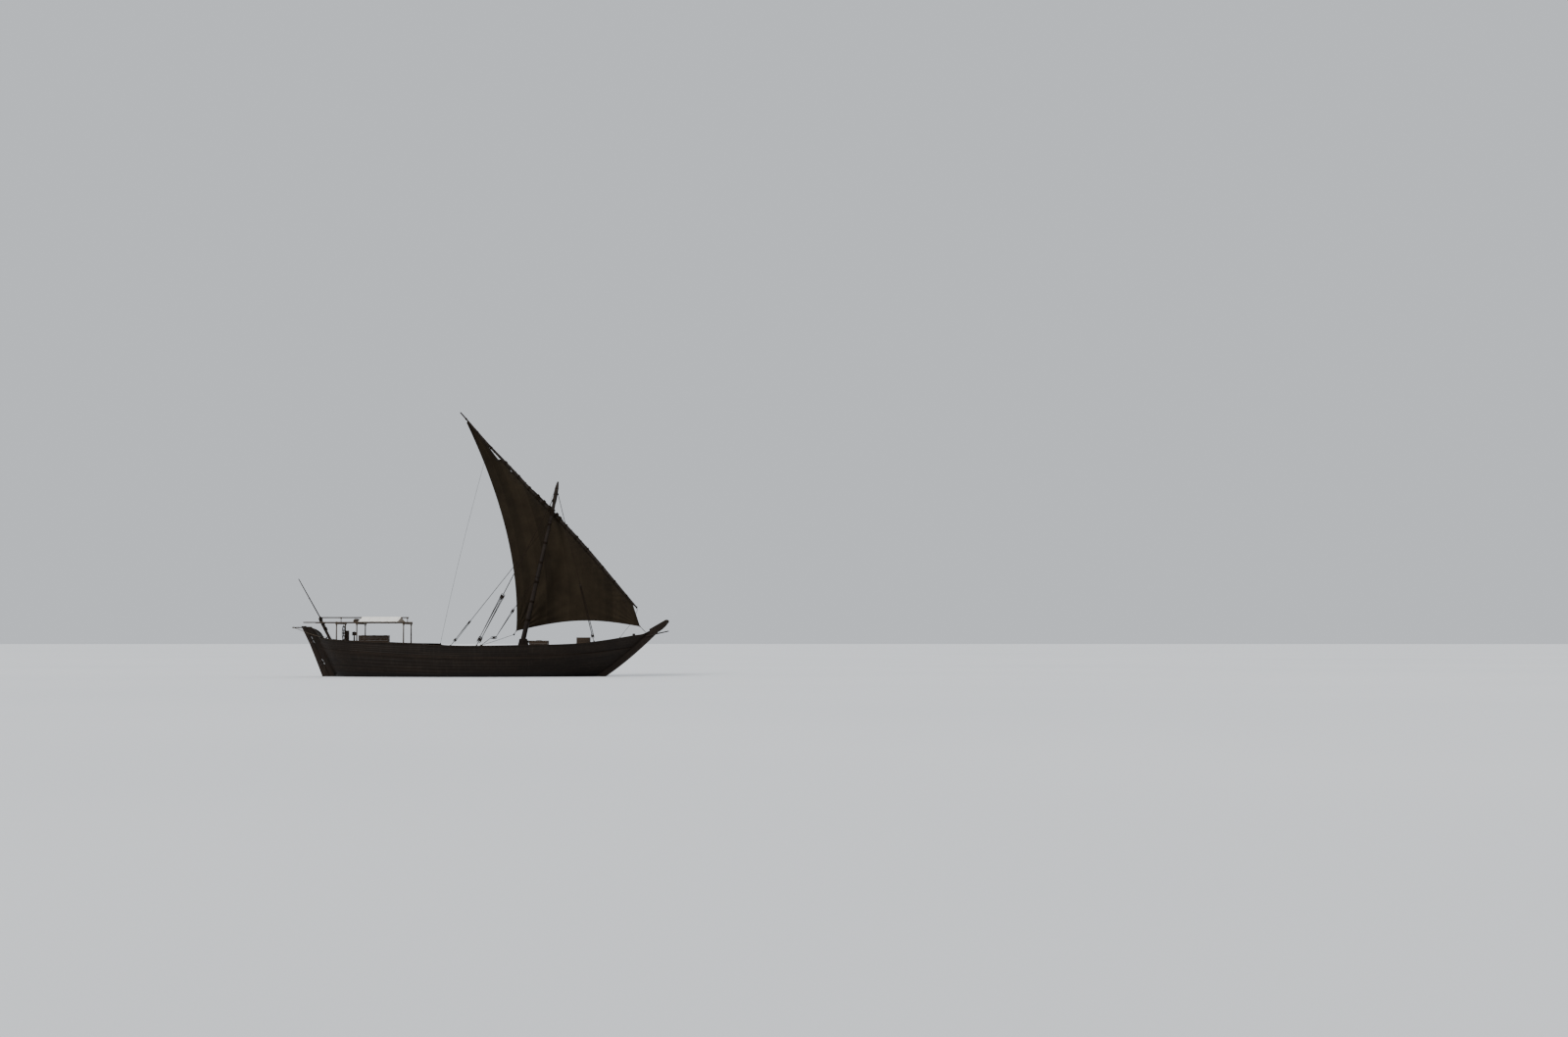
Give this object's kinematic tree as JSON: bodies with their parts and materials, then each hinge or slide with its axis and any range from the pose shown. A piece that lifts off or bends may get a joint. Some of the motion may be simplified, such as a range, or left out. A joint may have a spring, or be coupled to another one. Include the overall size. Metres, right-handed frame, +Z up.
{
  "type": "dhow sailing boat",
  "caption": "Double-ended wooden sailing dhow afloat, with a long raked stem, outboard rudder, forward-raked mast, lateen sail on a long yard, and a poop with an awning frame.",
  "frame": {"origin": "on the centreline at the waterline, amidships, where the water holds the boat up", "axes": "+X towards the bow, +Y to port, +Z up"},
  "size_m": [30.7778, 7.92, 24.1451],
  "materials": {
    "hull_wood": "oiled, weathered planks",
    "trim_wood": "oiled, worn on the edges",
    "deck_wood": "scrubbed, dry planks",
    "spar_wood": "oiled round spars",
    "sail_canvas": "tanned cotton canvas",
    "awning_cloth": "bleached canvas",
    "rope": "laid natural fibre"
  },
  "bodies": {
    "boat": {"hull": "hull_wood", "keel": "hull_wood", "stem": "trim_wood", "sternpost": "trim_wood", "bulwark_port": "hull_wood", "bulwark_starboard": "hull_wood", "rail_cap_port": "trim_wood", "rail_cap_starboard": "trim_wood", "wale_port": "trim_wood", "wale_starboard": "trim_wood", "main_deck": "deck_wood", "poop_deck": "deck_wood", "foredeck": "deck_wood", "poop_bulkhead": "trim_wood", "bow_bitt": "trim_wood", "bumkin": "spar_wood", "hatch_coaming": "trim_wood", "hatch_cover": "deck_wood", "water_tank": "deck_wood", "fire_box": "deck_wood", "mast": "spar_wood", "mast_bitts": "trim_wood", "forestay": "rope", "shroud": "rope", "side_tackle": "rope", "halyard": "rope", "halyard_purchase": "rope", "wheel_stand": "trim_wood", "binnacle": "trim_wood", "poop_locker": "deck_wood", "ensign_staff": "spar_wood", "ridge_pole": "spar_wood", "side_pole_port": "spar_wood", "side_pole_starboard": "spar_wood", "awning_post_port_1": "spar_wood", "awning_post_starboard_1": "spar_wood", "awning_beam_1": "spar_wood", "awning_post_port_2": "spar_wood", "awning_post_starboard_2": "spar_wood", "awning_beam_2": "spar_wood", "awning_post_port_3": "spar_wood", "awning_post_starboard_3": "spar_wood", "awning_beam_3": "spar_wood", "awning": "awning_cloth", "awning_roll": "awning_cloth"},
    "rudder_unit": {"rudder": "hull_wood", "steering_arm": "spar_wood"},
    "helm": {"wheel": "trim_wood"},
    "yard_unit": {"yard": "spar_wood", "sail": "sail_canvas", "parrel": "rope"},
    "lid": {"poop_locker_lid": "deck_wood"}
  },
  "joints": [
    {"name": "rudder_turn", "type": "hinge", "parent": "boat", "child": "rudder_unit", "pos_m": [-11.02, 0, 0], "axis": [-0.4436, 0, 0.8962], "range_deg": [-35, 35]},
    {"name": "wheel_turn", "type": "hinge", "parent": "boat", "child": "helm", "pos_m": [-9.9, 0, 3.52], "axis": [1, 0, 0], "range_deg": [-350, 350]},
    {"name": "yard_swing", "type": "hinge", "parent": "boat", "child": "yard_unit", "pos_m": [4.08928, 0, 0], "axis": [0.2168, 0, 0.9762], "range_deg": [-25, 10]},
    {"name": "lid_lift", "type": "hinge", "parent": "boat", "child": "lid", "pos_m": [-7.4, 0.4, 3.3103], "axis": [-1, 0, 0], "range_deg": [0, 95]}
  ],
  "couplings": [
    {"joint": "wheel_turn", "follows": "rudder_turn", "ratio": 10}
  ]
}
